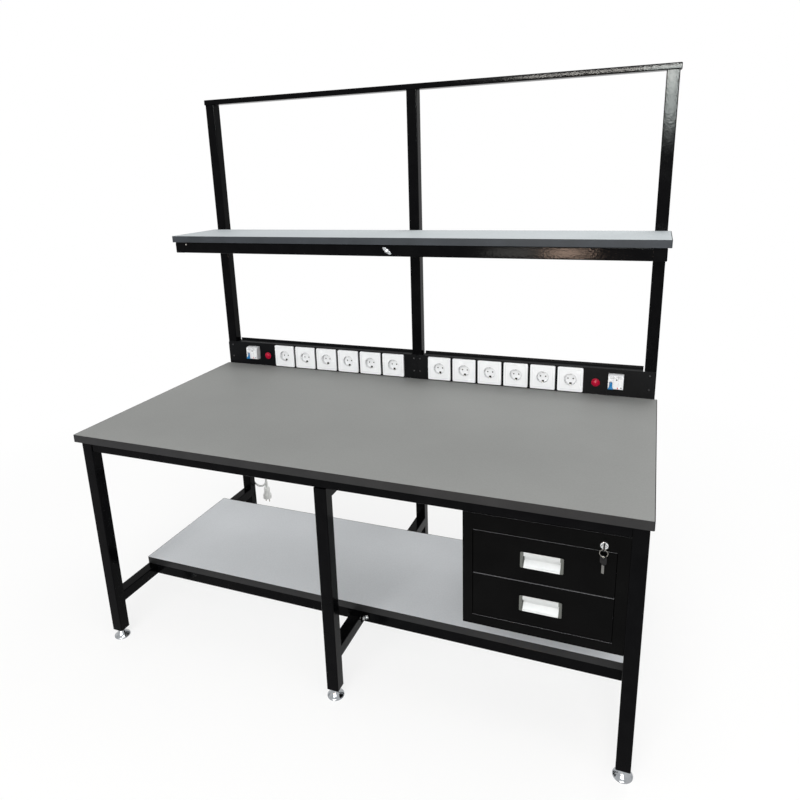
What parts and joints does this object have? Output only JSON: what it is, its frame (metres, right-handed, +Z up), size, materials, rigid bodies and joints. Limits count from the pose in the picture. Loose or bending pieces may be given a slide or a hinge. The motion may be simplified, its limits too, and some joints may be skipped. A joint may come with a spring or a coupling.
{
  "type": "anti-static workbench",
  "caption": "Steel-tube electronics workbench with grey worktop, lower and upper shelves, socket trunks along the back and a hanging drawer cabinet on the right.",
  "frame": {"origin": "on the floor under the middle of the bench's outline, leaving out the mains lead", "axes": "+X to the right seen from the front, +Y to the back, +Z up"},
  "size_m": [1.8046, 0.9997, 1.913],
  "materials": {
    "grey_laminate": "satin high-pressure laminate",
    "pale_laminate": "satin high-pressure laminate",
    "edge_band": "matt edge band",
    "grey_edge_band": "matt edge band",
    "black_powder_coat": "semi-gloss powder coat",
    "trunk_coat": "semi-gloss powder coat",
    "white_plastic": "gloss moulded",
    "blue_plastic": "gloss moulded",
    "red_lens": "clear red moulded",
    "black_plastic": "matt moulded",
    "grey_plastic": "matt moulded",
    "pale_cable": "matt cable sheath",
    "chrome": "bright plated",
    "nickel": "plated wire",
    "silver_pull": "satin plated"
  },
  "bodies": {
    "bench": {"cable_gland": "black_plastic", "centre_frame": "black_powder_coat", "cord_drop": "pale_cable", "cord_hank": "pale_cable", "drawer_cabinet": "black_powder_coat", "front_apron": "black_powder_coat", "front_shelf_rail_left": "black_powder_coat", "front_shelf_rail_right": "black_powder_coat", "hank_tie": "black_plastic", "left_breaker": "white_plastic", "left_end_frame": "black_powder_coat", "left_pilot_lamp": "red_lens", "left_trunk": "trunk_coat", "lock_barrel": "chrome", "lower_shelf_board": "pale_laminate", "lower_shelf_edge_band": "edge_band", "mains_plug": "grey_plastic", "rear_apron": "black_powder_coat", "rear_shelf_rail_left": "black_powder_coat", "rear_shelf_rail_right": "black_powder_coat", "right_breaker": "white_plastic", "right_end_frame": "black_powder_coat", "right_pilot_lamp": "red_lens", "right_trunk": "trunk_coat", "shelf_beam": "black_powder_coat", "socket_left_1": "white_plastic", "socket_left_2": "white_plastic", "socket_left_3": "white_plastic", "socket_left_4": "white_plastic", "socket_left_5": "white_plastic", "socket_left_6": "white_plastic", "socket_right_1": "white_plastic", "socket_right_2": "white_plastic", "socket_right_3": "white_plastic", "socket_right_4": "white_plastic", "socket_right_5": "white_plastic", "socket_right_6": "white_plastic", "top_rail": "black_powder_coat", "upper_shelf_board": "pale_laminate", "upper_shelf_edge_band": "grey_edge_band", "worktop_board": "grey_laminate", "worktop_edge_band": "edge_band"},
    "upper_drawer": {"upper_drawer": "black_powder_coat", "upper_drawer_handle": "silver_pull"},
    "lower_drawer": {"lower_drawer": "black_powder_coat", "lower_drawer_handle": "silver_pull"},
    "lock_plug": {"lock_plug": "chrome", "lock_key": "black_plastic"},
    "key_ring": {"key_ring": "nickel", "spare_key": "black_plastic"},
    "left_toggle": {"left_breaker_toggle": "blue_plastic"},
    "right_toggle": {"right_breaker_toggle": "blue_plastic"},
    "wing_bolt": {"wing_bolt": "chrome"},
    "foot_front_centre": {"foot_front_centre": "chrome"},
    "foot_front_left": {"foot_front_left": "chrome"},
    "foot_front_right": {"foot_front_right": "chrome"},
    "foot_rear_centre": {"foot_rear_centre": "chrome"},
    "foot_rear_left": {"foot_rear_left": "chrome"},
    "foot_rear_right": {"foot_rear_right": "chrome"}
  },
  "joints": [
    {"name": "upper_drawer_slide", "type": "slide", "parent": "bench", "child": "upper_drawer", "axis": [0, -1, 0], "range_m": [0, 0.33]},
    {"name": "lower_drawer_slide", "type": "slide", "parent": "bench", "child": "lower_drawer", "axis": [0, -1, 0], "range_m": [0, 0.33]},
    {"name": "lock_turn", "type": "hinge", "parent": "bench", "child": "lock_plug", "pos_m": [0.7885, -0.445, 0.708], "axis": [0, 1, 0], "range_deg": [0, 90]},
    {"name": "key_swing", "type": "hinge", "parent": "lock_plug", "child": "key_ring", "pos_m": [0.7885, -0.45618, 0.7041], "axis": [-1, 0, 0], "range_deg": [0, 60]},
    {"name": "left_toggle_flip", "type": "hinge", "parent": "bench", "child": "left_toggle", "pos_m": [-0.7745, 0.4071, 0.8525], "axis": [-1, 0, 0], "range_deg": [0, 76]},
    {"name": "right_toggle_flip", "type": "hinge", "parent": "bench", "child": "right_toggle", "pos_m": [0.7415, 0.4071, 0.8525], "axis": [-1, 0, 0], "range_deg": [0, 76]},
    {"name": "wing_bolt_turn", "type": "hinge", "parent": "bench", "child": "wing_bolt", "pos_m": [0, 0.1453, 1.3503], "axis": [0, 1, 0], "continuous": true},
    {"name": "foot_front_centre_turn", "type": "hinge", "parent": "bench", "child": "foot_front_centre", "pos_m": [0, -0.4224, 0], "axis": [0, 0, 1], "continuous": true},
    {"name": "foot_front_left_turn", "type": "hinge", "parent": "bench", "child": "foot_front_left", "pos_m": [-0.871, -0.4224, 0], "axis": [0, 0, 1], "continuous": true},
    {"name": "foot_front_right_turn", "type": "hinge", "parent": "bench", "child": "foot_front_right", "pos_m": [0.871, -0.4224, 0], "axis": [0, 0, 1], "continuous": true},
    {"name": "foot_rear_centre_turn", "type": "hinge", "parent": "bench", "child": "foot_rear_centre", "pos_m": [0, 0.4439, 0], "axis": [0, 0, 1], "continuous": true},
    {"name": "foot_rear_left_turn", "type": "hinge", "parent": "bench", "child": "foot_rear_left", "pos_m": [-0.871, 0.4439, 0], "axis": [0, 0, 1], "continuous": true},
    {"name": "foot_rear_right_turn", "type": "hinge", "parent": "bench", "child": "foot_rear_right", "pos_m": [0.871, 0.4439, 0], "axis": [0, 0, 1], "continuous": true}
  ]
}
